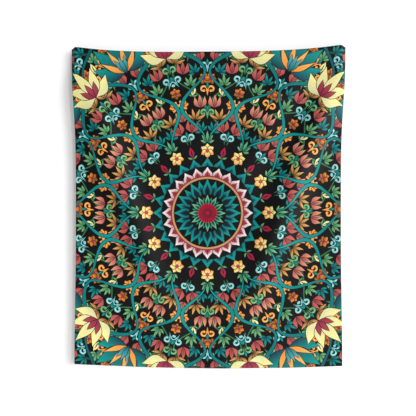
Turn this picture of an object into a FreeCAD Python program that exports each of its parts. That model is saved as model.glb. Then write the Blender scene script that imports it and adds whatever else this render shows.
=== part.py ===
"""Tapestry wall hanging: a hemmed cloth carried by two sewn-on hangers.

Frame: origin midway between the two nail holes, +X to the right seen from the
front, +Y towards the wall, +Z up. Millimetres. The cloth is drawn as it hangs:
the top edge dips between the hangers, shallow folds run from each hanger down
towards the middle, and the two top corners curl back to the wall.
"""
import FreeCAD, Part
import math
import os
import Sketcher
from FreeCAD import Placement, Rotation, Vector

SIZES = [
    # name, value, note
    ("hanger_spacing", 1676, "nail hole to nail hole"),
    ("peak_rise", 8, "top edge above the nail holes, at the hangers"),
    ("top_sag", 38, "dip of the top edge between the hangers"),
    ("cloth_drop", 2060, "top edge at the hangers to the lowest point of the foot"),
    ("foot_sag", 20, "foot's middle below its corners"),
    ("top_half_width", 880, "middle to side edge along the top"),
    ("waist_half_width", 848, "middle to side edge half way down"),
    ("foot_half_width", 857, "middle to side edge along the foot"),
    ("cloth_thickness", 1.6, "stands in for 0.3 mm cloth"),
    ("hem_thickness", 1.6, "the two turned plies"),
    ("layer_gap", 0.5, "between the cloth and its turned plies"),
    ("cloth_standoff", 8, "hanger mid-plane to the back of the hem"),
    ("hem_top_width", 36, "header hem, which holds the tabs"),
    ("hem_width", 20, "foot and side hems"),
    ("hem_joint_gap", 0.6, "between hems that meet at a corner"),
    ("stitch_inset", 2.5, "stitch row to the hem's inner edge"),
    ("stitch_width", 1.0, "thread and the dimple it pulls"),
    ("stitch_height", 0.6, "thread above the cloth"),
    ("left_fold_depth", 30, "fold from the left hanger"),
    ("right_fold_depth", 34, "fold from the right hanger"),
    ("inner_fold_depth", 10, "fold beside the right one"),
    ("fold_spread", 75, "crest to where a fold is steepest"),
    ("belly_depth", 12, "cloth between the hangers falls forward"),
    ("corner_turn", 26, "top corners curl back to the wall"),
    ("nail_hole_radius", 2.5, ""),
    ("eye_radius", 4.5, "outside of the hanger round the nail hole"),
    ("hanger_half_width", 6.5, ""),
    ("hanger_thickness", 2, ""),
    ("shoulder_drop", 4, "where the hanger reaches its full width"),
    ("bar_drop", 7.5, "nail hole to the ribbon bar"),
    ("bar_radius", 1, ""),
    ("slot_half_width", 5, ""),
    ("slot_drop", 5, "nail hole to the top of the ribbon slot"),
    ("leg_drop", 8.5, "nail hole to the foot of the legs"),
    ("hanger_edge", 0.4, "edge rounding"),
    ("ribbon_width", 9, ""),
    ("ribbon_thickness", 0.5, "one ply"),
    ("loop_clearance", 0.08, "ribbon on its bar"),
    ("tail_turn_drop", 14.8, "nail hole to where the tail lies flat"),
    ("tail_foot_drop", 25.5, "nail hole to the tail's end"),
    ("tail_gap", 0.15, "tail to the hem"),
    ("box_half_width", 3.5, "box stitch"),
    ("box_top_drop", 16, ""),
    ("box_foot_drop", 24, ""),
    ("thread_width", 0.6, ""),
    ("thread_height", 0.4, ""),
]

# Where each fold's crest lies across the cloth: x = a + b v, v from 0 at the
# top edge to 1 at the foot, then where along v it is full and where it fades.
FOLDS = [
    ("left_fold_depth", (-868, 720), (0.26, 0.85)),
    ("right_fold_depth", (891, -800), (0.22, 0.85)),
    ("inner_fold_depth", (629, -1029), (0.14, 0.62)),
]

# Knots across and down the cloth, closer together where it bends sharply.
EDGE_KNOTS = [0, 0.005, 0.01, 0.0155, 0.022, 0.04, 0.07]
KNOTS_ACROSS = (EDGE_KNOTS + [0.11 + 0.041 * k for k in range(20)]
                + [1 - knot for knot in reversed(EDGE_KNOTS)])
KNOTS_DOWN = ([0, 0.012, 0.03, 0.055] + [0.09 + 0.065 * k for k in range(14)] + [1])

doc = FreeCAD.newDocument("TapestryWallHanging")
sheet = doc.addObject("Spreadsheet::Sheet", "Sizes")


def fill_sheet():
    for row, (name, value, note) in enumerate(SIZES, start=1):
        sheet.set(f"A{row}", name)
        sheet.set(f"B{row}", str(value))
        sheet.set(f"C{row}", note)
        sheet.setAlias(f"B{row}", name)
    doc.recompute()


fill_sheet()
size = {name: float(sheet.get(name)) for name, _, _ in SIZES}
hanger_x = size["hanger_spacing"] / 2


# ---- the hanging cloth as one smooth surface --------------------------------

def ease(value, low, high):
    """0 below low, 1 above high, smooth between."""
    share = min(1.0, max(0.0, (value - low) / (high - low)))
    return share * share * (3 - 2 * share)


def half_width(v):
    top, waist, foot = (size[k] for k in
                        ("top_half_width", "waist_half_width", "foot_half_width"))
    return waist + (top - waist) * (1 - ease(v, 0, 0.5)) ** 2.2 \
        + (foot - waist) * ease(v, 0.6, 1)


def top_edge(x):
    """Height of the top edge: a dip between the hangers, then a short fall."""
    share = abs(x) / hanger_x
    dip = size["top_sag"] * (1 - min(share, 1) ** 3.2)
    fall = 9 * ease(abs(x), hanger_x + 12, size["top_half_width"])
    return size["peak_rise"] - dip - fall


def foot_edge(x):
    share = min(1.0, abs(x) / size["foot_half_width"])
    lowest = size["peak_rise"] - size["cloth_drop"]
    return lowest + size["foot_sag"] * share ** 2


def fold_depth(x, v):
    """How far the cloth stands out in front of its flat position."""
    depth = 0.0
    for name, (a, b), (full, fade) in FOLDS:
        off = (x - (a + b * v)) / size["fold_spread"]
        share = ease(v, 0, full) * (1 - 0.8 * ease(v, fade - 0.4, fade + 0.2))
        depth += size[name] * share * math.exp(-off * off / 2)
    middle = max(0.0, 1 - (x / hanger_x) ** 2)
    depth += size["belly_depth"] * middle * (1 - ease(v, 0.05, 0.5))
    curl = ease(abs(x), hanger_x + 14, size["top_half_width"])
    return depth - size["corner_turn"] * curl * (1 - ease(v, 0.01, 0.14))


def cloth_point(u, v):
    """Point on the cloth's front face."""
    x = (2 * u - 1) * half_width(v)
    x_top = (2 * u - 1) * half_width(0)
    z = top_edge(x_top) + v * (foot_edge(x) - top_edge(x_top))
    back = size["cloth_standoff"] + size["hem_thickness"] + size["layer_gap"]
    return Vector(x, -back - size["cloth_thickness"] - fold_depth(x, v), z)


def greville(knots):
    """Parameters where a clamped cubic's poles sit for these knots."""
    full = [knots[0]] * 3 + list(knots) + [knots[-1]] * 3
    return [sum(full[i + 1:i + 4]) / 3 for i in range(len(full) - 4)]


def cloth_surface():
    poles = [[cloth_point(u, v) for v in greville(KNOTS_DOWN)]
             for u in greville(KNOTS_ACROSS)]
    mults = [[4] + [1] * (len(k) - 2) + [4] for k in (KNOTS_ACROSS, KNOTS_DOWN)]
    surface = Part.BSplineSurface()
    surface.buildFromPolesMultsKnots(poles, mults[0], mults[1], KNOTS_ACROSS,
                                     KNOTS_DOWN, False, False, 3, 3)
    return surface


CLOTH = cloth_surface()
COLUMN = size["cloth_drop"] - size["top_sag"] + size["foot_sag"] / 2
ROW = 2 * size["waist_half_width"]


def sheet_piece(name, across, down, back, thickness, forward=False):
    """A patch of the cloth's surface, moved back and given its thickness."""
    patch = doc.addObject("Part::Feature", name + "_face")
    face = CLOTH.toShape(across[0], across[1], down[0], down[1])
    face.translate(Vector(0, back, 0))
    patch.Shape = face
    piece = doc.addObject("Part::Extrusion", name)
    piece.Label = name
    piece.Base = patch
    piece.DirMode = "Custom"
    piece.Dir = Vector(0, -1 if forward else 1, 0)
    piece.Solid = True
    piece.setExpression("LengthFwd", "Sizes." + thickness)
    return piece


def cloth_and_hems():
    top = size["hem_top_width"] / COLUMN
    foot = 1 - size["hem_width"] / COLUMN
    side = size["hem_width"] / ROW
    gap = size["hem_joint_gap"] / COLUMN
    behind = size["cloth_thickness"] + size["layer_gap"]
    hem = "hem_thickness"
    between = (top + gap, foot - gap)
    return [
        sheet_piece("fabric_panel", (0, 1), (0, 1), 0, "cloth_thickness"),
        sheet_piece("hem_top", (0, 1), (0, top), behind, hem),
        sheet_piece("hem_bottom", (0, 1), (foot, 1), behind, hem),
        sheet_piece("hem_left", (0, side), between, behind, hem),
        sheet_piece("hem_right", (1 - side, 1), between, behind, hem),
    ]


def hem_stitching():
    """Four thread rows on the front face, each just inside a hem's inner edge."""
    wide, inset = size["stitch_width"], size["stitch_inset"]
    top = (size["hem_top_width"] - inset) / COLUMN
    foot = 1 - (size["hem_width"] - inset) / COLUMN
    side = (size["hem_width"] - inset) / ROW
    across, down = wide / ROW, wide / COLUMN
    rows = {
        "stitching_top": ((side, 1 - side), (top - down, top)),
        "stitching_bottom": ((side, 1 - side), (foot, foot + down)),
        "stitching_left": ((side - across, side), (top + down, foot - down)),
        "stitching_right": ((1 - side, 1 - side + across),
                            (top + down, foot - down)),
    }
    return [sheet_piece(name, u, v, -0.02, "stitch_height", forward=True)
            for name, (u, v) in rows.items()]


# ---- sketched pieces ---------------------------------------------------------
# Sizes in a sketch are written like "{bar_drop} + {bar_radius}".

LINKS = {name: "Sizes." + name for name in size}


def link(text):
    return text.format(**LINKS)


def value_of(text):
    result = sheet.evalExpression(link(text))
    return float(getattr(result, "Value", result))


def plane_of(body, role):
    return next(f for f in body.Origin.OriginFeatures if f.Role == role)


def new_sketch(body, name, role):
    sketch = body.newObject("Sketcher::SketchObject", name)
    sketch.AttachmentSupport = (plane_of(body, role), "")
    sketch.MapMode = "FlatFace"
    return sketch


def bind(sketch, kind, where, text):
    number = sketch.addConstraint(
        Sketcher.Constraint(kind, *where, value_of(text)))
    sketch.setExpression(f"Constraints[{number}]", link(text))


def polygon(sketch, corners):
    """A closed run of lines, each corner bound to the sheet as (x, y) texts."""
    points = [Vector(value_of(x), value_of(y), 0) for x, y in corners]
    first, count = sketch.GeometryCount, len(points)
    for i in range(count):
        sketch.addGeometry(
            Part.LineSegment(points[i], points[(i + 1) % count]), False)
    for i, (x, y) in enumerate(corners):
        sketch.addConstraint(Sketcher.Constraint(
            "Coincident", first + i, 2, first + (i + 1) % count, 1))
        bind(sketch, "DistanceX", (-1, 1, first + i, 1), x)
        bind(sketch, "DistanceY", (-1, 1, first + i, 1), y)


def circle(sketch, height, radius):
    """A circle centred on the sketch's upright axis."""
    centre = Vector(0, value_of(height), 0)
    number = sketch.addGeometry(
        Part.Circle(centre, Vector(0, 0, 1), value_of(radius)), False)
    if value_of(height):
        sketch.addConstraint(Sketcher.Constraint("PointOnObject", number, 3, -2))
        bind(sketch, "DistanceY", (-1, 1, number, 3), height)
    else:
        sketch.addConstraint(Sketcher.Constraint("Coincident", number, 3, -1, 1))
    bind(sketch, "Radius", (number,), radius)


def eye_outline(sketch, corners):
    """The hanger's outline: an arc round the nail hole, closed by lines."""
    radius, dip = size["eye_radius"], "{eye_radius} * 0.34"
    ends = math.asin(0.34)
    arc = Part.ArcOfCircle(
        Part.Circle(Vector(0, 0, 0), Vector(0, 0, 1), radius), -ends, math.pi + ends)
    sketch.addGeometry(arc, False)
    points = [arc.StartPoint] + [Vector(value_of(x), value_of(y), 0)
                                 for x, y in corners] + [arc.EndPoint]
    for a, b in zip(points, points[1:]):
        sketch.addGeometry(Part.LineSegment(a, b), False)
    last = len(corners) + 1
    join = Sketcher.Constraint
    sketch.addConstraint(join("Coincident", 0, 3, -1, 1))
    sketch.addConstraint(join("Coincident", 0, 1, 1, 1))
    sketch.addConstraint(join("Coincident", 0, 2, last, 2))
    bind(sketch, "Radius", (0,), "{eye_radius}")
    for end in (1, 2):
        bind(sketch, "DistanceY", (-1, 1, 0, end), "-" + dip)
    for i, (x, y) in enumerate(corners, start=1):
        sketch.addConstraint(join("Coincident", i, 2, i + 1, 1))
        bind(sketch, "DistanceX", (-1, 1, i, 2), x)
        bind(sketch, "DistanceY", (-1, 1, i, 2), y)


def pad(body, name, sketch, length):
    feature = body.newObject("PartDesign::Pad", name)
    feature.Profile = sketch
    feature.Midplane = True
    feature.setExpression("Length", link(length))
    doc.recompute()
    return feature


def pocket(body, name, sketch):
    feature = body.newObject("PartDesign::Pocket", name)
    feature.Profile = sketch
    feature.Midplane = True
    feature.setExpression("Length", link("{hanger_thickness} + 2"))
    before = body.Shape.Volume
    doc.recompute()
    assert body.Shape.Volume < before - 1, name + " cut nothing"
    return feature


def place(body, side):
    """Move a piece drawn at X = 0 to the left (-1) or right (+1) hanger."""
    body.setExpression("Placement.Base.x",
                       link(f"{side} * {{hanger_spacing}} / 2"))
    doc.recompute()
    return body


def hanger(name, side):
    """Moulded hanger: a nail hole above a slot with a round ribbon bar."""
    body = doc.addObject("PartDesign::Body", name)
    plate = new_sketch(body, name + "_plate", "XZ_Plane")
    eye_outline(plate, [
        ("{hanger_half_width}", "-{shoulder_drop}"),
        ("{hanger_half_width}", "-{leg_drop}"),
        ("-{hanger_half_width}", "-{leg_drop}"),
        ("-{hanger_half_width}", "-{shoulder_drop}")])
    pad(body, name + "_plate_pad", plate, "{hanger_thickness}")
    slot = new_sketch(body, name + "_slot", "XZ_Plane")
    polygon(slot, [
        ("-{slot_half_width}", "-{slot_drop}"), ("{slot_half_width}", "-{slot_drop}"),
        ("{slot_half_width}", "-{leg_drop} - 1"),
        ("-{slot_half_width}", "-{leg_drop} - 1")])
    pocket(body, name + "_slot_cut", slot)
    blank = body.Tip
    outline = body.newObject("PartDesign::Fillet", name + "_rounding")
    outline.Base = (blank, face_outline(blank.Shape))
    outline.setExpression("Radius", link("{hanger_edge}"))
    doc.recompute()
    hole = new_sketch(body, name + "_hole", "XZ_Plane")
    circle(hole, "0", "{nail_hole_radius}")
    pocket(body, name + "_nail_hole", hole)
    bar = new_sketch(body, name + "_bar", "YZ_Plane")
    circle(bar, "-{bar_drop}", "{bar_radius}")
    pad(body, name + "_bar_pad", bar, "2 * {slot_half_width} + 1")
    return place(body, side)


def face_outline(shape):
    """The edges round the plate's front and back faces."""
    half = size["hanger_thickness"] / 2
    return [f"Edge{i}" for i, e in enumerate(shape.Edges, start=1)
            if abs(e.BoundBox.YMax - e.BoundBox.YMin) < 1e-6
            and abs(abs(e.BoundBox.YMax) - half) < 1e-6]


def hem_back(drop):
    """The hem's back face under the ribbon's outer edge, this far down."""
    v = (size["peak_rise"] + drop) / COLUMN
    x = hanger_x + size["ribbon_width"] / 2
    point = CLOTH.value(0.5 - x / (2 * half_width(v)), v)
    return point.y + size["cloth_thickness"] + size["layer_gap"] + size["hem_thickness"]


def ribbon_tab(name, side):
    """Ribbon folded round the bar, its two plies sewn to the header hem."""
    body = doc.addObject("PartDesign::Body", name)
    loop = new_sketch(body, name + "_loop", "YZ_Plane")
    inner = "{bar_radius} + {loop_clearance}"
    circle(loop, "-{bar_drop}", inner)
    circle(loop, "-{bar_drop}", inner + " + {ribbon_thickness}")
    pad(body, name + "_loop_pad", loop, "{ribbon_width}")
    near, far = "{tail_y}", "{tail_y} + 2 * {ribbon_thickness}"
    tail = new_sketch(body, name + "_tail", "YZ_Plane")
    polygon(tail, [
        ("-1.45", "-{bar_drop} - 0.3"), ("-0.3", "-{bar_drop} - 1.45"),
        (far, "-{tail_turn_drop} - 0.4"), (far, "-{tail_foot_drop}"),
        (near, "-{tail_foot_drop}"), (near, "-{tail_turn_drop} + 0.4")])
    pad(body, name + "_tail_pad", tail, "{ribbon_width}")
    return place(body, side)


def box_stitch(name, side):
    """A sewn rectangle with crossed diagonals that holds the tab's tail."""
    body = doc.addObject("PartDesign::Body", name)
    frame = new_sketch(body, name + "_frame", "XZ_Plane")
    middle = "-({box_top_drop} + {box_foot_drop}) / 2"
    wide, tall = "{box_half_width}", "({box_foot_drop} - {box_top_drop}) / 2"
    polygon(frame, [(f"{a}{wide}", f"{middle} {b} {tall}")
                    for a, b in (("-", "-"), ("", "-"), ("", "+"), ("-", "+"))])
    inner_x, inner_y = f"({wide} - {{thread_width}})", f"({tall} - {{thread_width}})"
    half = "{thread_width} * 0.75"
    for a, b in (("", "+"), ("-", "-")):
        polygon(frame, [
            (f"-{inner_x} + {half}", f"{middle} {b} {inner_y}"),
            (f"{inner_x} - {half}", f"{middle} {b} {inner_y}"),
            ("0", f"{middle} {b} {half}")])
        polygon(frame, [
            (f"{a}{inner_x}" if a else inner_x, f"{middle} - {inner_y} + {half}"),
            (f"{a}{inner_x}" if a else inner_x, f"{middle} + {inner_y} - {half}"),
            (f"{a}({half})", middle)])
    feature = body.newObject("PartDesign::Pad", name + "_pad")
    feature.Profile = frame
    feature.Midplane = True
    feature.setExpression("Length", link("{thread_height}"))
    doc.recompute()
    body.setExpression("Placement.Base.y", link(
        "{tail_y} + 2 * {ribbon_thickness} + {thread_height} / 2 + 0.02"))
    return place(body, side)


def measure_tail():
    """The tail lies on the hem, whose place comes from the cloth's surface."""
    back = max(hem_back(drop) for drop in (14, 17, 20, 23, 25.5))
    row = len(SIZES) + 1
    sheet.set(f"A{row}", "tail_y")
    sheet.set(f"B{row}", f"{back + size['tail_gap']:.3f}")
    sheet.set(f"C{row}", "front of the tail, on the back of the hem")
    sheet.setAlias(f"B{row}", "tail_y")
    doc.recompute()
    LINKS["tail_y"] = "Sizes.tail_y"


measure_tail()
pieces = cloth_and_hems() + hem_stitching()
for word, side in (("left", -1), ("right", 1)):
    pieces.append(hanger("hanger_" + word, side))
    pieces.append(ribbon_tab("ribbon_tab_" + word, side))
    pieces.append(box_stitch("tab_stitching_" + word, side))
doc.recompute()


def check(piece):
    assert not {"Invalid", "Error"} & set(piece.State), piece.Label + " failed"
    shape = piece.Shape
    assert not shape.isNull() and shape.isValid(), piece.Label + " isn't valid"
    assert len(shape.Solids) == 1, piece.Label + " isn't one solid"


for thing in doc.Objects:
    assert not {"Invalid", "Error"} & set(thing.State), thing.Name + " failed"
for piece in pieces:
    check(piece)

os.makedirs("parts", exist_ok=True)
for piece in pieces:
    piece.Shape.exportStep(f"parts/{piece.Label}.step")
    box = piece.Shape.BoundBox
    print(f"{piece.Label:20s} {box.XLength:8.1f} {box.YLength:6.1f} {box.ZLength:8.1f}"
          f"  {piece.Shape.Volume:12.1f} mm3")
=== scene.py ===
"""Looks for the tapestry wall hanging: the printed cloth as it hangs, its
turned hems, thread rows, ribbon tabs and hangers, against a white wall.

The print is drawn flat in millimetres from its centre, one 15 degree slice of
a pattern that repeats twelve times with a mirror, then laid on the cloth.
"""
import math
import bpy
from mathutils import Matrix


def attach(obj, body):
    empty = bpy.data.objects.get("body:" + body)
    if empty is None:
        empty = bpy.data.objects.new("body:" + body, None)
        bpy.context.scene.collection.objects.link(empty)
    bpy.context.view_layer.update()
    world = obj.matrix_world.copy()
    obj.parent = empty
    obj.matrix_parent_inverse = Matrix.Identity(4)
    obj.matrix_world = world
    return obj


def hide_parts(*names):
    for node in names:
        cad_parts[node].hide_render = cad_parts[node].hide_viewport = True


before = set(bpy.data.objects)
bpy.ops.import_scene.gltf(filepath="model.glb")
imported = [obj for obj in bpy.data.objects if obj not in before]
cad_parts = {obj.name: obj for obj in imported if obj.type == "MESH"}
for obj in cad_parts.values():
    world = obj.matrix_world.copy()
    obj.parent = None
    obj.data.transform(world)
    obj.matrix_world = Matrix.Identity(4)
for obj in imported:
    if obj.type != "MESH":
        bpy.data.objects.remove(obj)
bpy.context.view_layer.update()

import bmesh
import bpy
import numpy as np
from mathutils import Vector
from mathutils.geometry import delaunay_2d_cdt

MM = 0.001
CLOTH_THICKNESS = 0.4
FLAT_W, FLAT_H = 1727.0, 2032.0
HANGER_X = 838.0
TOP_HALF, WAIST_HALF, FOOT_HALF = 880, 848, 857
PEAK_RISE, TOP_SAG, CORNER_DROP, CORNER_TURN = 8, 38, 9, 26
CLOTH_DROP, FOOT_SAG = 2060, 20
BELLY = 12
FRONT_Y = -9.3


# ---- the cloth as it hangs ------------------------------------------------------

def ease(value, low, high):
    share = np.clip((value - low) / (high - low), 0, 1)
    return share * share * (3 - 2 * share)


def half_width(v):
    top, foot = TOP_HALF - WAIST_HALF, FOOT_HALF - WAIST_HALF
    return WAIST_HALF + top * (1 - ease(v, 0, 0.5)) ** 2.2 + foot * ease(v, 0.6, 1)


def top_edge(x):
    share = np.clip(np.abs(x) / HANGER_X, 0, 1)
    dropped = CORNER_DROP * ease(np.abs(x), HANGER_X + 12, TOP_HALF)
    return PEAK_RISE - TOP_SAG * (1 - share ** 3.2) - dropped


def foot_edge(x):
    risen = FOOT_SAG * np.clip(np.abs(x) / FOOT_HALF, 0, 1) ** 2
    return PEAK_RISE - CLOTH_DROP + risen


FOLD_SPREAD = 75
FOLDS = [  # depth, crest at x = a + b v, and the v where it is full and fades
    (30, -868, 720, 0.26, 0.85),
    (34, 891, -800, 0.22, 0.85),
    (10, 629, -1029, 0.14, 0.62),
]


def depth(x, v):
    """How far the cloth stands out in front of its flat position, in mm."""
    d = BELLY * np.clip(1 - (x / HANGER_X) ** 2, 0, 1) * (1 - ease(v, 0.05, 0.5))
    for high, a, b, full, fade in FOLDS:
        off = (x - (a + b * v)) / FOLD_SPREAD
        share = ease(v, 0, full) * (1 - 0.8 * ease(v, fade - 0.4, fade + 0.2))
        d = d + high * share * np.exp(-off * off / 2)
    turned = ease(np.abs(x), HANGER_X + 14, TOP_HALF)
    d = d - CORNER_TURN * turned * (1 - ease(v, 0.01, 0.14))
    return d + ripples(x, v)


def ripples(x, v):
    """Soft unevenness of limp cloth, none of it at the hangers."""
    free = ease(v, 0.02, 0.16)
    slow = np.sin(x / 97 + 2.1 * np.sin(v * 5.2)) * np.sin(v * 8.1 + x / 410)
    fine = np.sin(x / 41 + 7 * v + 1.3) * np.sin(v * 29 - x / 160)
    foot = np.sin(x / 71 + 0.6) * ease(v, 0.72, 1)
    return free * (1.3 * slow + 0.35 * fine) + 2.2 * foot


def on_cloth(u, v, back=0.0):
    """Metres, for arrays of cloth coordinates and a distance behind the front."""
    x = (2 * u - 1) * half_width(v)
    x_top = (2 * u - 1) * TOP_HALF
    z = top_edge(x_top) + v * (foot_edge(x) - top_edge(x_top))
    y = FRONT_Y - depth(x, v) + back
    return np.stack([x, y, z], axis=-1) * MM


def from_flat(x, y):
    """Cloth coordinates of a place on the flat print. Its upper half hangs
    a little stretched."""
    t = -y / (FLAT_H / 2)
    return 0.5 + x / FLAT_W, 0.51 + 0.5 * t - 0.01 * t * t


# ---- drawing tools for the print --------------------------------------------------

COLOURS = {
    "black": (5, 5, 6), "dark": (4, 7, 9), "white": (250, 246, 244),
    "teal": (0, 158, 150), "deep": (0, 84, 96), "navy": (20, 50, 74),
    "aqua": (88, 186, 190), "sky": (168, 226, 222),
    "green": (66, 134, 84), "mint": (128, 190, 134), "moss": (28, 84, 50),
    "orange": (244, 142, 44), "peach": (250, 188, 104), "umber": (118, 76, 40),
    "tan": (204, 150, 92),
    "cream": (252, 244, 158), "straw": (224, 220, 166),
    "crimson": (184, 26, 62), "wine": (140, 38, 74), "maroon": (118, 44, 56),
    "rose": (178, 72, 78), "salmon": (204, 108, 90), "blush": (238, 170, 132),
}
INK = 0.9


def linear(name):
    rgb = np.array(COLOURS[name]) / 255
    return INK * np.where(rgb <= 0.04045, rgb / 12.92,
                          ((rgb + 0.055) / 1.055) ** 2.4)


SLICE, COPIES = 15, 12  # degrees between mirror lines; turns of the mirrored pair
STEP = 17.0
OUTLINE = 3.4
SHAPES = []


def turn(points, degrees):
    """Clockwise, so that the second mirror line lies at +SLICE degrees."""
    c, s = math.cos(math.radians(degrees)), math.sin(math.radians(degrees))
    return [(x * c + y * s, -x * s + y * c) for x, y in points]


def smooth(points, closed=True, step=STEP):
    """A curve through the points; one with a third value is a corner."""
    count = len(points)
    spans = count if closed else count - 1
    out = []

    def tangent(i, other):
        p, q = points[i], points[other % count]
        if len(p) > 2 or (not closed and i in (0, count - 1)):
            a, b = (p, q) if other > i else (q, p)
        else:
            a, b = points[i - 1], points[(i + 1) % count]
        dx, dy = b[0] - a[0], b[1] - a[1]
        return dx, dy, math.hypot(dx, dy) or 1

    for i in range(spans):
        j = (i + 1) % count
        p, q = points[i], points[j]
        chord = math.hypot(q[0] - p[0], q[1] - p[1])
        ax, ay, al = tangent(i, i + 1)
        if len(q) > 2 or (not closed and j in (0, count - 1)):
            bx, by = q[0] - p[0], q[1] - p[1]
        else:
            n = points[(j + 1) % count]
            bx, by = n[0] - p[0], n[1] - p[1]
        bl = math.hypot(bx, by) or 1
        steps = max(1, round(chord / step))
        if len(p) == 2 or len(q) == 2:
            steps = max(2, steps)
        for k in range(steps):
            t = k / steps
            a, b = 2 * t ** 3 - 3 * t * t + 1, -2 * t ** 3 + 3 * t * t
            c, d = t ** 3 - 2 * t * t + t, t ** 3 - t * t
            out.append(tuple(
                a * p[m] + b * q[m] + chord * (c * (ax, ay)[m] / al
                                               + d * (bx, by)[m] / bl)
                for m in (0, 1)))
    if not closed:
        out.append(tuple(points[-1][:2]))
    return out


def both(half):
    """Closed outline from its right half, listed from top to bottom."""
    left = [(-p[0],) + tuple(p[1:]) for p in reversed(half) if abs(p[0]) > 1e-9]
    return smooth(list(half) + left)


def stroke(points, widths):
    """A band along a curve, its width going through the given widths."""
    line = smooth(points, closed=False)
    left, right = [], []
    for i, (x, y) in enumerate(line):
        a, b = line[max(i - 1, 0)], line[min(i + 1, len(line) - 1)]
        dx, dy = b[0] - a[0], b[1] - a[1]
        length = math.hypot(dx, dy) or 1
        at = i / (len(line) - 1) * (len(widths) - 1)
        k = min(int(at), len(widths) - 2)
        w = (widths[k] + (widths[k + 1] - widths[k]) * (at - k)) / 2
        left.append((x - dy / length * w, y + dx / length * w))
        right.append((x + dy / length * w, y - dx / length * w))
    return left + right[::-1]


def round_spot(x, y, r):
    count = max(10, round(2 * math.pi * r / STEP))
    turns = [2 * math.pi * k / count for k in range(count)]
    return [(x + r * math.cos(a), y + r * math.sin(a)) for a in turns]


def leaf(x0, y0, x1, y1, width, bend=0.0):
    """A pointed leaf from foot to tip; bend pushes its middle sideways."""
    dx, dy = x1 - x0, y1 - y0
    length = math.hypot(dx, dy)
    nx, ny = -dy / length, dx / length
    mx, my = x0 + dx * 0.45 + nx * bend, y0 + dy * 0.45 + ny * bend
    return smooth([(x0, y0, 1), (mx - nx * width / 2, my - ny * width / 2),
                   (x1, y1, 1), (mx + nx * width / 2, my + ny * width / 2)])


def scroll(x, y, radius, start, sweep, wide, tail=()):
    """A curl that ends in a bulb at its heart: its band and its bulb."""
    points = list(tail)
    for k in range(9):
        share = k / 8
        a = math.radians(start + sweep * share)
        r = radius * (1 - 0.6 * share)
        points.append((x + r * math.sin(a), y + r * math.cos(a)))
    return stroke(points, (2, wide * 0.75, wide, wide * 1.1, wide, wide * 0.7)), \
        round_spot(points[-1][0], points[-1][1], wide * 0.78)


def grown(outline, by):
    """The outline pushed outwards by this many millimetres."""
    outline = turned_left(outline)
    count, out = len(outline), []
    for i, (x, y) in enumerate(outline):
        a, b = outline[i - 1], outline[(i + 1) % count]
        dx, dy = b[0] - a[0], b[1] - a[1]
        length = math.hypot(dx, dy) or 1
        out.append((x + dy / length * by, y - dx / length * by))
    return out


def turned_left(outline):
    area = sum(a[0] * b[1] - b[0] * a[1]
               for a, b in zip(outline, outline[1:] + outline[:1]))
    return outline if area > 0 else outline[::-1]


def paint(outline, first, second=None, along=None, inked=False):
    """Add a shape. Its colour goes from first to second along a line, and an
    inked one has a dark line round it."""
    heights = [p[1] for p in outline]
    a, b = along or ((0, min(heights)), (0, max(heights)))
    if inked:
        SHAPES.append((grown(outline, OUTLINE), linear("black"), linear("black"), a, b))
    SHAPES.append((outline, linear(first), linear(second or first), a, b))


def flip(outline):
    return [(-x, y) for x, y in outline]


# ---- motifs ------------------------------------------------------------------------
# A motif is a list of (outline, first colour, second colour, inked). Its foot is
# at the origin, it points up and it is about 90 mm tall.

def fan(leans, long, wide, first, second, droop=0.0):
    """Pointed leaves from one foot, the outer ones first; droop shortens them."""
    parts = []
    for lean in leans:
        reach = long * (1 - droop * lean / 90)
        for side in (-1, 1) if lean else (1,):
            tip = turn([(0, reach)], side * lean)[0]
            parts.append((leaf(0, long * 0.04, *tip, wide, -side * lean * wide / 260),
                          first, second, True))
    return parts


def sprig(first="green", second="mint"):
    return fan((74, 38, 0), 84, 21, first, second, 0.45)


def tulip(dark="maroon", middle="rose", pale="blush"):
    parts = []
    for side in (-1, 1):
        parts.append((leaf(side * 2, 0, side * 38, 80, 32, -side * 13), middle, pale,
                      True))
    parts.append((leaf(0, 2, 0, 94, 30), dark, pale, True))
    parts.append((leaf(0, 14, 0, 72, 8), dark, middle, False))
    return parts


def blossom(first="orange", second="peach", heart="crimson"):
    parts = []
    for k in range(6):
        tip = turn([(0, 42)], 60 * k)[0]
        parts.append((leaf(0, 42, tip[0], 42 + tip[1], 34), first, second, True))
    parts.append((round_spot(0, 42, 12), heart, heart, False))
    return parts


def scrolls(first="sky", second="aqua"):
    """Two curls back to back, with a small leaf between them."""
    parts = []
    for side in (-1, 1):
        band, bulb = scroll(29, 46, 27, -115, 320, 13, ((1, 2), (3, 26)))
        if side < 0:
            band, bulb = flip(band), flip(bulb)
        parts.append((band, second, first, True))
        parts.append((bulb, first, second, False))
    parts.append((leaf(0, 50, 0, 96, 20), "deep", "teal", True))
    return parts


def bud(first="wine", second="crimson"):
    return fan((60,), 40, 14, "green", "mint") + [
        (leaf(0, 6, 0, 86, 40), first, second, True),
        (leaf(0, 16, 0, 70, 8), "dark", "dark", False)]


def lotus(low, high, wide, outer, inner):
    """A petal between two radii, with a smaller petal and a midrib in it."""
    def ogee(foot, tip, half):
        long = tip - foot
        return both([(0, tip, 1), (half * 0.4, tip - long * 0.24),
                     (half, tip - long * 0.55), (half * 0.62, foot + long * 0.12),
                     (0, foot, 1)])
    long = high - low
    return [(ogee(low, high, wide), *outer, True),
            (ogee(low + long * 0.1, high - long * 0.28, wide * 0.58), *inner, False),
            (stroke([(0, low + long * 0.12), (0, high - long * 0.36)], (2, 5, 1)),
             "dark", "dark", False)]


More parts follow.
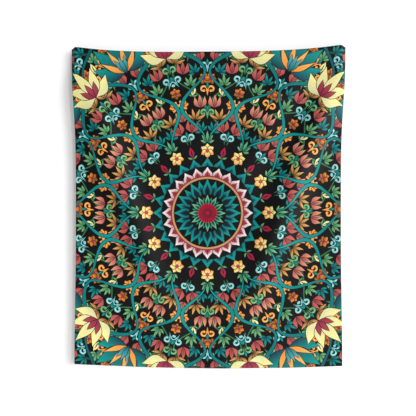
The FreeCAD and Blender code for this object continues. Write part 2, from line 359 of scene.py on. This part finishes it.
def stamp(parts, degrees, radius=0.0, size=1.0, lean=0.0):
    """Draw a motif this far clockwise round the print, leaning clockwise."""
    x, y = turn([(0, radius)], degrees)[0]

    def put(points):
        scaled = [(px * size, py * size) for px, py in points]
        return [(px + x, py + y) for px, py in turn(scaled, degrees + lean)]

    for outline, first, second, inked in parts:
        heights = [p[1] for p in outline]
        along = put([(0, min(heights)), (0, max(heights))])
        paint(put(outline), first, second, along, inked)


# ---- the print's rings -----------------------------------------------------------------

def disc(radius, colour):
    paint(round_spot(0, 0, radius), colour)


def medallion():
    for degrees, colours in ((15, ("navy", "teal")), (0, ("deep", "teal"))):
        stamp(lotus(250, 356, 40, colours, ("dark", "deep")), degrees)
    disc(300, "black")
    for degrees in (15, 0):
        stamp(lotus(212, 296, 34, ("rose", "white"), ("wine", "rose")), degrees)
    disc(240, "wine")
    disc(232, "tan")
    disc(220, "dark")
    stamp(lotus(96, 212, 27, ("navy", "teal"), ("dark", "deep")), 15)
    stamp(lotus(96, 222, 30, ("deep", "teal"), ("dark", "navy")), 0)
    disc(122, "black")
    stamp(lotus(48, 104, 12, ("deep", "teal"), ("dark", "deep")), 15)
    stamp(lotus(48, 120, 15, ("green", "mint"), ("dark", "teal")), 0)
    disc(62, "crimson")
    for degrees in (0, 15):
        stamp([(stroke([(0, 14), (0, 58)], (3, 5)), "dark", "dark", False)], degrees)
    disc(12, "wine")


def petal_ring():
    stamp(blossom("orange", "cream", "rose"), 0, 352, 1.1)
    stamp(bud(), 15, 356, 0.9)


FIELD = [  # motifs in turn along the rings of the field
    sprig(), tulip(), scrolls(), blossom("orange", "peach", "wine"),
    sprig("deep", "teal"), scrolls("peach", "orange"), tulip("maroon", "rose", "salmon"),
    bud("straw", "cream"), scrolls("mint", "green"), blossom("umber", "orange", "wine"),
    fan((60, 20), 84, 22, "umber", "peach"),
]
FIRST_RING, LAST_RING, RING_STEP, MOTIF_ROOM, MOTIF_SIZE = 452, 1320, 73, 66, 0.86


def field():
    """Rings of motifs, set like bricks, that grow in number with the radius."""
    radii = range(FIRST_RING, LAST_RING, RING_STEP)
    for row in reversed(range(len(radii))):
        columns = max(1, int(radii[row] * math.radians(SLICE) / MOTIF_ROOM))
        shift = row % 2
        for k in range(columns + 1 - shift):
            degrees = (k + 0.5 * shift) * SLICE / columns
            lean = 0 if degrees in (0, SLICE) else 30 * math.sin(2.1 * row + 1.7 * k)
            motif = FIELD[(row * 4 + k * 2) % len(FIELD)]
            stamp(motif, degrees, radii[row], MOTIF_SIZE, lean)


def vine(turned, wide, first, second):
    """A ribbon that wanders between the mirror lines."""
    line = [turn([(0, 450 + 56 * k)],
                 7.5 - 6.5 * math.cos((k + turned) * math.pi / 4))[0]
            for k in range(16)]
    paint(stroke(line, (3, wide, wide * 0.5, wide, wide * 0.5, wide)), first, second,
          inked=True)


def great_petals():
    stamp(fan((60, 30, 0), 290, 84, "navy", "teal", 0.4), 0, 1012)
    stamp(fan((44, 15), 190, 34, "orange", "peach", 0.2), 0, 1012)
    stamp(fan((18, 0), 120, 26, "deep", "aqua"), 0, 1010)
    stamp(fan((66, 33, 0), 214, 66, "straw", "cream", 0.3), 15, 1000)
    stamp(fan((36, 0), 104, 34, "wine", "rose"), 15, 1004)


def draw_print():
    vine(4, 14, "green", "moss")
    field()
    vine(0, 22, "teal", "deep")
    great_petals()
    petal_ring()
    medallion()


# ---- from outlines to a coloured mesh ---------------------------------------------------

GRID = 30.0
LINE_STEP = 20.0
LINE_ROOM = 4.0
REACH = 1345.0


def slice_points():
    """Points along both mirror lines and an even lattice between them."""
    points, border = [Vector((0, 0))], []
    for axis in (0, SLICE):
        first = len(points)
        for k in range(1, int(REACH / LINE_STEP) + 1):
            points.append(Vector(turn([(0, k * LINE_STEP)], axis)[0]))
        chain = [0] + list(range(first, len(points)))
        border += list(zip(chain, chain[1:]))
    wedge = math.tan(math.radians(SLICE))
    row_step = GRID * 0.866
    for row in range(int(REACH / row_step)):
        y = row * GRID * 0.866
        for col in range(int(REACH / GRID)):
            x = (col + 0.5 * (row % 2) + 0.3) * GRID
            if LINE_ROOM < x < y * wedge - LINE_ROOM:
                points.append(Vector((x, y)))
    return points, border


def slice_mesh():
    """Triangles of one slice with a colour at each corner, and their points.
    A second round leaves out the edges that other shapes cover."""
    lattice, border = slice_points()
    points, edges, used = list(lattice), list(border), []
    for outline, *paints in SHAPES:
        angles = [math.degrees(math.atan2(x, y)) for x, y in outline]
        if max(angles) < 0 or min(angles) > SLICE:
            continue
        loop = list(range(len(points), len(points) + len(outline)))
        points += [Vector(p) for p in outline]
        edges += list(zip(loop, loop[1:] + loop[:1]))
        used.append((np.array(outline), paints))
    xy, tris, owners = divided(points, edges, used)
    seen = visible_edges(tris, owners)
    first = len(lattice)
    points = lattice + [Vector(xy[i]) for edge in seen for i in edge]
    edges = border + [(first + 2 * k, first + 2 * k + 1) for k in range(len(seen))]
    xy, tris, owners = divided(points, edges, used)
    colours = [colour_of(xy[tri], used[owner][1] if owner >= 0 else None)
               for tri, owner in zip(tris, owners)]
    return xy, tris, np.array(colours)


def divided(points, edges, used):
    """The slice's triangles, and the topmost shape over each."""
    verts, _, tris, _, _, _ = delaunay_2d_cdt(points, edges, [], 0, 1e-2, False)
    xy = np.array([(p.x, p.y) for p in verts])
    tris = np.array([t if cross(xy, t) > 0 else t[::-1] for t in tris])
    middles = xy[tris].mean(axis=1)
    angles = np.degrees(np.arctan2(middles[:, 0], middles[:, 1]))
    within = (angles >= 0) & (angles <= SLICE)
    tris, middles = tris[within], middles[within]
    owners = np.full(len(tris), -1)
    for number, (outline, _) in enumerate(used):
        low, high = outline.min(axis=0), outline.max(axis=0)
        near = np.flatnonzero(((middles > low) & (middles < high)).all(axis=1))
        owners[near[inside(middles[near], outline)]] = number
    return xy, tris, owners


def visible_edges(tris, owners):
    """Edges with a different shape on each side."""
    sides = {}
    for tri, owner in zip(tris.tolist(), owners.tolist()):
        for i in range(3):
            edge = tuple(sorted((tri[i - 1], tri[i])))
            sides.setdefault(edge, set()).add(owner)
    return [edge for edge, shapes in sides.items() if len(shapes) > 1]


def inside(places, outline):
    """Which places the outline winds round, even where it crosses itself."""
    a, b = outline, np.roll(outline, -1, axis=0)
    x, y = places[:, :1], places[:, 1:]
    side = (b[:, 0] - a[:, 0]) * (y - a[:, 1]) - (x - a[:, 0]) * (b[:, 1] - a[:, 1])
    rises = (a[:, 1] <= y) & (b[:, 1] > y) & (side > 0)
    falls = (a[:, 1] > y) & (b[:, 1] <= y) & (side < 0)
    return rises.sum(axis=1) != falls.sum(axis=1)


def cross(xy, tri):
    (ax, ay), (bx, by), (cx, cy) = xy[tri]
    return (bx - ax) * (cy - ay) - (by - ay) * (cx - ax)


def colour_of(corners, paints):
    if paints is None:
        return np.tile(linear("black"), (3, 1))
    first, second, a, b = paints
    a, line = np.array(a), np.array(b) - np.array(a)
    share = np.clip((corners - a) @ line / (line @ line), 0, 1)[:, None]
    return first * (1 - share) + second * share


def whole_print():
    """The slice, mirrored and turned all the way round, as one flat mesh."""
    xy, tris, colours = slice_mesh()
    places, faces, paints = [], [], []
    for k in range(COPIES):
        a = math.radians(2 * SLICE * k)
        spin = np.array([[math.cos(a), -math.sin(a)], [math.sin(a), math.cos(a)]])
        for side in (1, -1):
            faces.append(tris[:, ::side] + len(places) * len(xy))
            places.append((xy * (side, 1)) @ spin)
            paints.append(colours[:, ::side])
    places, faces = np.concatenate(places), np.concatenate(faces)
    keys = np.round(places / 0.02).astype(np.int64)
    _, first, index = np.unique(keys, axis=0, return_index=True,
                                return_inverse=True)
    faces = index.reshape(-1)[faces]
    corners = np.concatenate(paints)
    whole = ((faces[:, 0] != faces[:, 1]) & (faces[:, 1] != faces[:, 2])
             & (faces[:, 2] != faces[:, 0]))
    faces, corners = faces[whole], corners[whole]
    mesh = bpy.data.meshes.new("printed_cloth")
    mesh.from_pydata([(x, y, 0) for x, y in places[first]], [], faces.tolist())
    layer = mesh.color_attributes.new("Print", "FLOAT_COLOR", "CORNER")
    rgba = np.ones((len(faces) * 3, 4))
    rgba[:, :3] = corners.reshape(-1, 3)
    layer.data.foreach_set("color", rgba.ravel())
    return mesh


SIDE_CUTS = [0, 4, 8, 12, 16, 20, 24, 28, 34, 50]
END_CUTS = [0, 20]


def trim(mesh):
    """Cut the flat print to the cloth's rectangle. More cuts inside its edges
    let it follow the curled corners and the hems."""
    bm = bmesh.new()
    bm.from_mesh(mesh)
    for x, y, cuts in ((1, 0, SIDE_CUTS), (-1, 0, SIDE_CUTS),
                       (0, 1, END_CUTS), (0, -1, END_CUTS)):
        for inset in cuts:
            at = Vector((x * (FLAT_W / 2 - inset), y * (FLAT_H / 2 - inset), 0))
            bmesh.ops.bisect_plane(bm, geom=bm.verts[:] + bm.edges[:] + bm.faces[:],
                                   plane_co=at, plane_no=(x, y, 0),
                                   clear_outer=inset == 0)
    bmesh.ops.triangulate(bm, faces=bm.faces[:])
    bm.to_mesh(mesh)
    bm.free()


def add_object(mesh, name, smooth_shade=True):
    piece = bpy.data.objects.new(name, mesh)
    bpy.context.scene.collection.objects.link(piece)
    mesh.polygons.foreach_set("use_smooth", [smooth_shade] * len(mesh.polygons))
    return piece


def printed_cloth():
    draw_print()
    mesh = whole_print()
    trim(mesh)
    flat = np.empty(len(mesh.vertices) * 3)
    mesh.vertices.foreach_get("co", flat)
    flat = flat.reshape(-1, 3)
    u, v = from_flat(flat[:, 0], flat[:, 1])
    mesh.vertices.foreach_set("co", on_cloth(u, v).ravel())
    mesh.update()
    return add_object(mesh, "printed_cloth")


# ---- sewn and turned pieces ---------------------------------------------------------

def tube_mesh(name, rings):
    """A skin over equal rings of points, in metres, capped at both ends."""
    count, size = len(rings), len(rings[0])
    faces = []
    for i in range(count - 1):
        for j in range(size):
            k = (j + 1) % size
            faces.append((i * size + j, i * size + k, (i + 1) * size + k,
                          (i + 1) * size + j))
    faces.append(tuple(range(size))[::-1])
    faces.append(tuple(range((count - 1) * size, count * size)))
    mesh = bpy.data.meshes.new(name)
    mesh.from_pydata([tuple(p) for ring in rings for p in ring], [], faces)
    bm = bmesh.new()
    bm.from_mesh(mesh)
    bmesh.ops.recalc_face_normals(bm, faces=bm.faces[:])
    bm.to_mesh(mesh)
    bm.free()
    return mesh


COLUMN, ROW = 2032.0, 1696.0
HEMS = {  # name: (edge, width in mm)
    "hem_top": ("top", 36), "hem_bottom": ("foot", 20),
    "hem_left": ("left", 20), "hem_right": ("right", 20),
}


def edge_place(edge, along, inward):
    """Cloth coordinates at a share along an edge, this many mm in from it."""
    if edge == "top":
        return along, inward / COLUMN + 0 * along
    if edge == "foot":
        return along, 1 - inward / COLUMN + 0 * along
    if edge == "left":
        return inward / ROW + 0 * along, along
    return 1 - inward / ROW + 0 * along, along


def hem(name):
    """The cloth's edge turned twice to the back: a soft fold, then flat plies
    that pucker between the stitches."""
    edge, width = HEMS[name]
    profile = [(0.2, 0.0), (-0.5, 0.15), (-0.75, 0.55), (-0.45, 1.0), (0.6, 1.25),
               (4, 1.2), (width * 0.5, 1.15), (width - 4, 1.12), (width - 2.5, 0.95),
               (width - 1, 1.2), (width, 0.85), (width - 1.2, 0.48),
               (width * 0.5, 0.46), (3, 0.46)]
    ends = (-0.0003, 1.0003)
    if edge in ("left", "right"):
        ends = (36.6 / COLUMN, 1 - 20.6 / COLUMN)
    closer_at_ends = 0.5 - 0.5 * np.cos(np.linspace(0, math.pi, 321))
    along = ends[0] + (ends[1] - ends[0]) * closer_at_ends
    rings = []
    pucker = 0.16 * np.sin(along * 811) + 0.1 * np.sin(along * 1490 + 1)
    for inward, back in profile:
        u, v = edge_place(edge, along, inward)
        rings.append(on_cloth(u, v, back + (pucker if back > 0.5 else 0)))
    return add_object(tube_mesh(name + "_fold", np.stack(rings, axis=1)),
                      name + "_fold")


def thread(name, lines, outward, pitch=3.4, thick=0.24):
    """Rows of single stitches along lines of points, raised off the cloth."""
    stations = ((0.02, -0.16, 0.5), (0.17, 0.1, 0.95), (0.5, 0.2, 1.0),
                (0.83, 0.1, 0.95), (0.98, -0.16, 0.5))
    verts, faces = [], []
    for line, out in zip(lines, outward):
        out = np.array(out, dtype=float)
        steps = np.linalg.norm(np.diff(line, axis=0), axis=1)
        run = np.concatenate([[0], np.cumsum(steps)])
        number = max(1, int(run[-1] / (pitch * MM)))
        marks = np.linspace(0, run[-1], number + 1)
        knots = np.stack([np.interp(marks, run, line[:, m]) for m in range(3)], 1)
        for a, b in zip(knots[:-1], knots[1:]):
            ahead = (b - a) / np.linalg.norm(b - a)
            side = np.cross(ahead, out)
            side /= np.linalg.norm(side)
            lift = np.cross(side, ahead)
            base = len(verts)
            for share, height, swell in stations:
                middle = a + (b - a) * share + lift * (height * MM)
                for q in ((1, 0), (0, 1), (-1, 0), (0, -1)):
                    verts.append(tuple(middle + (side * q[0] + lift * q[1])
                                       * (thick * swell * MM)))
            for i in range(len(stations) - 1):
                for j in range(4):
                    k = (j + 1) % 4
                    faces.append((base + i * 4 + j, base + i * 4 + k,
                                  base + i * 4 + 4 + k, base + i * 4 + 4 + j))
            faces.append((base + 3, base + 2, base + 1, base))
            faces.append(tuple(base + 16 + j for j in range(4)))
    mesh = bpy.data.meshes.new(name)
    mesh.from_pydata(verts, [], faces)
    return add_object(mesh, name)


def hem_thread(name, hem_name):
    """The seam of one hem: needle thread in front, bobbin thread behind."""
    edge, width = HEMS[hem_name]
    inward = width - 2.5
    inset = 17.5
    if edge in ("top", "foot"):
        ends = inset / ROW, 1 - inset / ROW
    else:
        ends = 33.5 / COLUMN, 1 - 17.5 / COLUMN
    along = np.linspace(ends[0], ends[1], 900)
    u, v = edge_place(edge, along, inward)
    return thread(name, [on_cloth(u, v, 0.05), on_cloth(u, v, 1.0)],
                  [(0, -1, 0), (0, 1, 0)])


def ribbon_tab(name, x):
    """Twill ribbon round the hanger's bar, both plies down to the box stitch."""
    path = [(-7.66, -25.6), (-7.66, -20), (-7.62, -15.2), (-6.5, -13.0),
            (-3.7, -10.3), (-1.36, -8.25), (-1.2, -6.85), (0, -6.14), (1.2, -6.85),
            (1.32, -7.8), (0.72, -8.72), (-0.6, -9.4), (-3.2, -11.6), (-6.1, -14.3),
            (-7.16, -16.2), (-7.18, -20), (-7.18, -25.4)]
    line = np.array(smooth(path, closed=False, step=0.5))
    ahead = np.gradient(line, axis=0)
    ahead /= np.linalg.norm(ahead, axis=1)[:, None]
    section = [(-4.5, 0), (-4.35, 0.21), (-3.9, 0.17), (0, 0.19), (3.9, 0.17),
               (4.35, 0.21), (4.5, 0), (4.35, -0.21), (3.9, -0.17), (0, -0.19),
               (-3.9, -0.17), (-4.35, -0.21)]
    rings = []
    for (y, z), (dy, dz) in zip(line, ahead):
        rings.append([((x + sx) * MM, (y - dz * n) * MM, (z + dy * n) * MM)
                      for sx, n in section])
    return add_object(tube_mesh(name + "_twill", rings), name + "_twill")


def tab_thread(name, x):
    """Box stitch with crossed diagonals through the tab and the header hem."""
    low, high, half = -24.0, -16.0, 3.5
    a, b, c, d = [np.array((x + px, -6.9, pz)) * MM for px, pz in
                  ((-half, low), (half, low), (half, high), (-half, high))]
    lines = [np.array([a, b]), np.array([b, c]), np.array([c, d]), np.array([d, a]),
             np.array([a, c]), np.array([b, d])]
    return thread(name, lines, [(0, 1, 0)] * 6, pitch=1.9, thick=0.2)


# ---- materials -----------------------------------------------------------------------

class Nodes:
    """Short ways to add and join a material's nodes."""

    def __init__(self, name):
        self.material = bpy.data.materials.new(name)
        self.material.use_nodes = True
        self.tree = self.material.node_tree
        self.shader = self.tree.nodes["Principled BSDF"]

    def add(self, kind, settings=(), inputs=(), **links):
        node = self.tree.nodes.new("ShaderNode" + kind)
        for key, value in dict(settings).items():
            setattr(node, key, value)
        for key, value in dict(inputs).items():
            node.inputs[key].default_value = value
        for key, source in links.items():
            self.link(source, node.inputs[key.replace("_", " ")])
        return node

    def link(self, source, target):
        self.tree.links.new(source, target)

    def math(self, operation, a, b=None):
        node = self.tree.nodes.new("ShaderNodeMath")
        node.operation = operation
        for socket, value in zip(node.inputs, (a, b)):
            if hasattr(value, "links"):
                self.link(value, socket)
            elif value is not None:
                socket.default_value = value
        return node.outputs[0]

    def blend(self, factor, a, b):
        node = self.tree.nodes.new("ShaderNodeMix")
        node.data_type = "RGBA"
        for socket, value in zip((node.inputs[0], node.inputs[6], node.inputs[7]),
                                 (factor, a, b)):
            if hasattr(value, "links"):
                self.link(value, socket)
            else:
                socket.default_value = value
        return node.outputs[2]

    def bump(self, height, distance, strength=1.0, before=None):
        node = self.tree.nodes.new("ShaderNodeBump")
        node.inputs["Strength"].default_value = strength
        node.inputs["Distance"].default_value = distance
        self.link(height, node.inputs["Height"])
        if before:
            self.link(before, node.inputs["Normal"])
        return node.outputs[0]

    def finish(self, **values):
        for key, value in values.items():
            socket = self.shader.inputs[key.replace("_", " ")]
            if hasattr(value, "links"):
                self.link(value, socket)
            else:
                socket.default_value = value
        return self.material


def grey(value):
    return (value, value, value, 1.0)


def weave(nodes, pitch):
    """Over and under of a plain weave, from the object's own X and Z."""
    place = nodes.add("TexCoord").outputs["Object"]
    split = nodes.add("SeparateXYZ", Vector=place)
    turns = 2 * math.pi / pitch
    warp = nodes.math("SINE", nodes.math("MULTIPLY", split.outputs[0], turns))
    weft = nodes.math("SINE", nodes.math("MULTIPLY", split.outputs[2], turns))
    return place, nodes.math("MULTIPLY", warp, weft)


def cloth_material(name, back=False):
    nodes = Nodes(name)
    place, plain = weave(nodes, 0.0011)
    ink = nodes.add("VertexColor", {"layer_name": "Print"}).outputs["Color"]
    grain = nodes.add("TexNoise", {}, {"Scale": 380.0, "Detail": 3.0,
                                       "Roughness": 0.7}, Vector=place).outputs[0]
    patchy = nodes.add("TexNoise", {}, {"Scale": 9.0, "Detail": 2.0},
                       Vector=place).outputs[0]
    fleck = nodes.add("MapRange", {}, {"From Min": 0.3, "From Max": 0.7,
                                       "To Min": 0.82, "To Max": 1.18},
                      Value=grain).outputs[0]
    fade = nodes.add("MapRange", {}, {"From Min": 0.3, "From Max": 0.7,
                                      "To Min": 0.95, "To Max": 1.06},
                     Value=patchy).outputs[0]
    strength = nodes.math("MULTIPLY", fleck, fade)
    tone = nodes.add("VectorMath", {"operation": "SCALE"}, {}, Vector=ink,
                     Scale=strength).outputs[0]
    if back:
        tone = nodes.blend(0.34, (0.62, 0.61, 0.59, 1), tone)
    rough = nodes.add("MapRange", {}, {"From Min": 0.3, "From Max": 0.7,
                                       "To Min": 0.44, "To Max": 0.54},
                      Value=grain).outputs[0]
    relief = nodes.bump(plain, 0.00012, 0.35,
                        nodes.bump(grain, 0.0004, 0.25))
    return nodes.finish(Base_Color=tone, Roughness=rough, Normal=relief,
                        Sheen_Weight=0.02, Sheen_Roughness=0.4,
                        Specular_IOR_Level=0.2)


def turned_cloth_material():
    nodes = Nodes("hem_cloth")
    place, plain = weave(nodes, 0.0011)
    grain = nodes.add("TexNoise", {}, {"Scale": 240.0, "Detail": 3.0},
                      Vector=place).outputs[0]
    tone = nodes.blend(grain, (0.006, 0.006, 0.007, 1), (0.021, 0.021, 0.023, 1))
    return nodes.finish(Base_Color=tone, Roughness=0.5, Sheen_Weight=0.15,
                        Normal=nodes.bump(plain, 0.00012, 0.35))


def thread_material():
    nodes = Nodes("black_thread")
    place = nodes.add("TexCoord").outputs["Object"]
    ply = nodes.add("TexWave", {"bands_direction": "DIAGONAL"},
                    {"Scale": 900.0, "Distortion": 1.0}, Vector=place).outputs[1]
    tone = nodes.blend(ply, (0.008, 0.008, 0.009, 1), (0.035, 0.035, 0.038, 1))
    return nodes.finish(Base_Color=tone, Roughness=0.42, Sheen_Weight=0.2,
                        Normal=nodes.bump(ply, 0.00004, 0.5))


def ribbon_material():
    nodes = Nodes("twill_ribbon")
    place = nodes.add("TexCoord").outputs["Object"]
    twill = nodes.add("TexWave", {"bands_direction": "DIAGONAL"},
                      {"Scale": 520.0, "Distortion": 0.3}, Vector=place).outputs[1]
    fuzz = nodes.add("TexNoise", {}, {"Scale": 1500.0, "Detail": 2.0},
                     Vector=place).outputs[0]
    tone = nodes.blend(nodes.math("MULTIPLY", twill, fuzz),
                       (0.012, 0.012, 0.014, 1), (0.07, 0.07, 0.075, 1))
    return nodes.finish(Base_Color=tone, Roughness=0.7, Sheen_Weight=0.25,
                        Normal=nodes.bump(twill, 0.00008, 0.6))


def nylon_material():
    nodes = Nodes("moulded_nylon")
    place = nodes.add("TexCoord").outputs["Object"]
    cloud = nodes.add("TexNoise", {}, {"Scale": 220.0, "Detail": 2.0},
                      Vector=place).outputs[0]
    skin = nodes.add("TexNoise", {}, {"Scale": 2600.0, "Detail": 1.0},
                     Vector=place).outputs[0]
    tone = nodes.blend(cloud, (0.78, 0.78, 0.75, 1), (0.88, 0.88, 0.86, 1))
    return nodes.finish(Base_Color=tone, Roughness=0.32,
                        Subsurface_Weight=0.2, Subsurface_Scale=0.002,
                        Normal=nodes.bump(skin, 0.00003, 0.4))


def wall_material(one_sided):
    """Matt white paint. The wall is see-through from behind, so that the
    object's back can be looked at."""
    nodes = Nodes("wall_paint" if one_sided else "floor_paint")
    place = nodes.add("TexCoord").outputs["Object"]
    roller = nodes.add("TexNoise", {}, {"Scale": 60.0, "Detail": 3.0},
                       Vector=place).outputs[0]
    material = nodes.finish(Base_Color=grey(0.86), Roughness=0.8,
                            Emission_Color=grey(1), Emission_Strength=0.15,
                            Normal=nodes.bump(roller, 0.0006, 0.15))
    if one_sided:
        clear = nodes.add("BsdfTransparent")
        facing = nodes.add("NewGeometry").outputs["Backfacing"]
        shadow = nodes.add("LightPath").outputs["Is Shadow Ray"]
        mix = nodes.add("MixShader")
        nodes.link(nodes.math("MAXIMUM", facing, shadow), mix.inputs[0])
        nodes.link(nodes.shader.outputs[0], mix.inputs[1])
        nodes.link(clear.outputs[0], mix.inputs[2])
        output = nodes.tree.nodes["Material Output"]
        nodes.link(mix.outputs[0], output.inputs["Surface"])
    return material


# ---- stage, light and camera -------------------------------------------------------

WALL_Y = 0.045
FLOOR_Z = -2.75
WALL_TOP = 2.2
STAGE_HALF = 6


def plane(name, corners, material):
    mesh = bpy.data.meshes.new(name)
    mesh.from_pydata(corners, [], [(0, 1, 2, 3)])
    piece = add_object(mesh, name, False)
    mesh.materials.append(material)


def aim(thing, target):
    thing.rotation_euler = (Vector(target) - thing.location).to_track_quat(
        "-Z", "Y").to_euler()


def sun(name, azimuth, elevation, spread, strength):
    """Even soft light from far away; azimuth 0 is the front, 90 the right."""
    data = bpy.data.lights.new(name, "SUN")
    data.angle, data.energy = math.radians(spread), strength
    light = bpy.data.objects.new(name, data)
    bpy.context.scene.collection.objects.link(light)
    turned, raised = math.radians(azimuth), math.radians(elevation)
    light.location = (5 * math.sin(turned) * math.cos(raised),
                      -5 * math.cos(turned) * math.cos(raised),
                      5 * math.sin(raised))
    aim(light, (0, 0, 0))


def set_stage():
    left, right = -STAGE_HALF, STAGE_HALF
    plane("wall", [(left, WALL_Y, FLOOR_Z), (right, WALL_Y, FLOOR_Z),
                   (right, WALL_Y, WALL_TOP), (left, WALL_Y, WALL_TOP)],
          wall_material(True))
    plane("floor", [(left, left, FLOOR_Z), (right, left, FLOOR_Z),
                    (right, right, FLOOR_Z), (left, right, FLOOR_Z)],
          wall_material(False))
    sun("key", 56, 12, 30, 2.9)
    sun("side", 30, 5, 12, 0.85)
    sun("behind", 150, 30, 30, 1.6)
    world = bpy.data.worlds.new("studio")
    world.use_nodes = True
    nodes = world.node_tree.nodes
    back = nodes["Background"]
    back.inputs[0].default_value = (1, 1, 1, 1)
    path = nodes.new("ShaderNodeLightPath")
    seen = nodes.new("ShaderNodeMapRange")
    seen.inputs["To Min"].default_value = 0.17
    seen.inputs["To Max"].default_value = 0.9
    world.node_tree.links.new(path.outputs["Is Camera Ray"], seen.inputs["Value"])
    world.node_tree.links.new(seen.outputs[0], back.inputs[1])
    bpy.context.scene.world = world
    bpy.context.scene.view_settings.view_transform = "Standard"


def set_camera():
    """Square on to the cloth, a little to its right, about five metres away."""
    data = bpy.data.cameras.new("camera")
    data.sensor_width, data.lens = 36.0, 67.5
    data.clip_end = 50
    camera = bpy.data.objects.new("camera", data)
    bpy.context.scene.collection.objects.link(camera)
    yaw, away = math.radians(2.2), 5.0
    target = Vector((0.003, 0, -1.028))
    camera.location = target + Vector((math.sin(yaw), -math.cos(yaw), 0)) * away
    aim(camera, target)
    bpy.context.scene.camera = camera


# ---- putting it together -----------------------------------------------------------------

def dress(piece, node, slot, *materials):
    piece.data.materials.clear()
    for material in materials:
        piece.data.materials.append(material)
    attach(piece, "cloth")
    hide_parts(node)
    return piece


def thicken(piece, thickness):
    """Give the open cloth its back face, in the second material."""
    solid = piece.modifiers.new("thickness", "SOLIDIFY")
    solid.thickness, solid.offset = thickness, -1
    solid.material_offset = 1
    graph = bpy.context.evaluated_depsgraph_get()
    mesh = bpy.data.meshes.new_from_object(piece.evaluated_get(graph))
    piece.modifiers.clear()
    piece.data = mesh


def main():
    set_camera()
    set_stage()
    cloth = printed_cloth()
    dress(cloth, "fabric_panel", "printed_cloth", cloth_material("printed_front"),
          cloth_material("printed_back", back=True))
    thicken(cloth, CLOTH_THICKNESS * MM)
    hem_cloth, sewing = turned_cloth_material(), thread_material()
    hems = [dress(hem(name), name, "printed_cloth", hem_cloth) for name in HEMS]
    rows = [dress(hem_thread("thread_" + word, "hem_" + word), "stitching_" + word,
                  "black_thread", sewing)
            for word in ("top", "bottom", "left", "right")]
    ribbon, tabs = ribbon_material(), []
    for word, x in (("left", -HANGER_X), ("right", HANGER_X)):
        tabs.append(dress(ribbon_tab("tab_" + word, x), "ribbon_tab_" + word,
                          "twill_ribbon", ribbon))
        tabs.append(dress(tab_thread("tab_thread_" + word, x),
                          "tab_stitching_" + word, "black_thread", sewing))
    nylon = nylon_material()
    for word in ("left", "right"):
        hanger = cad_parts["hanger_" + word]
        for slot in hanger.material_slots:
            slot.material = nylon


main()
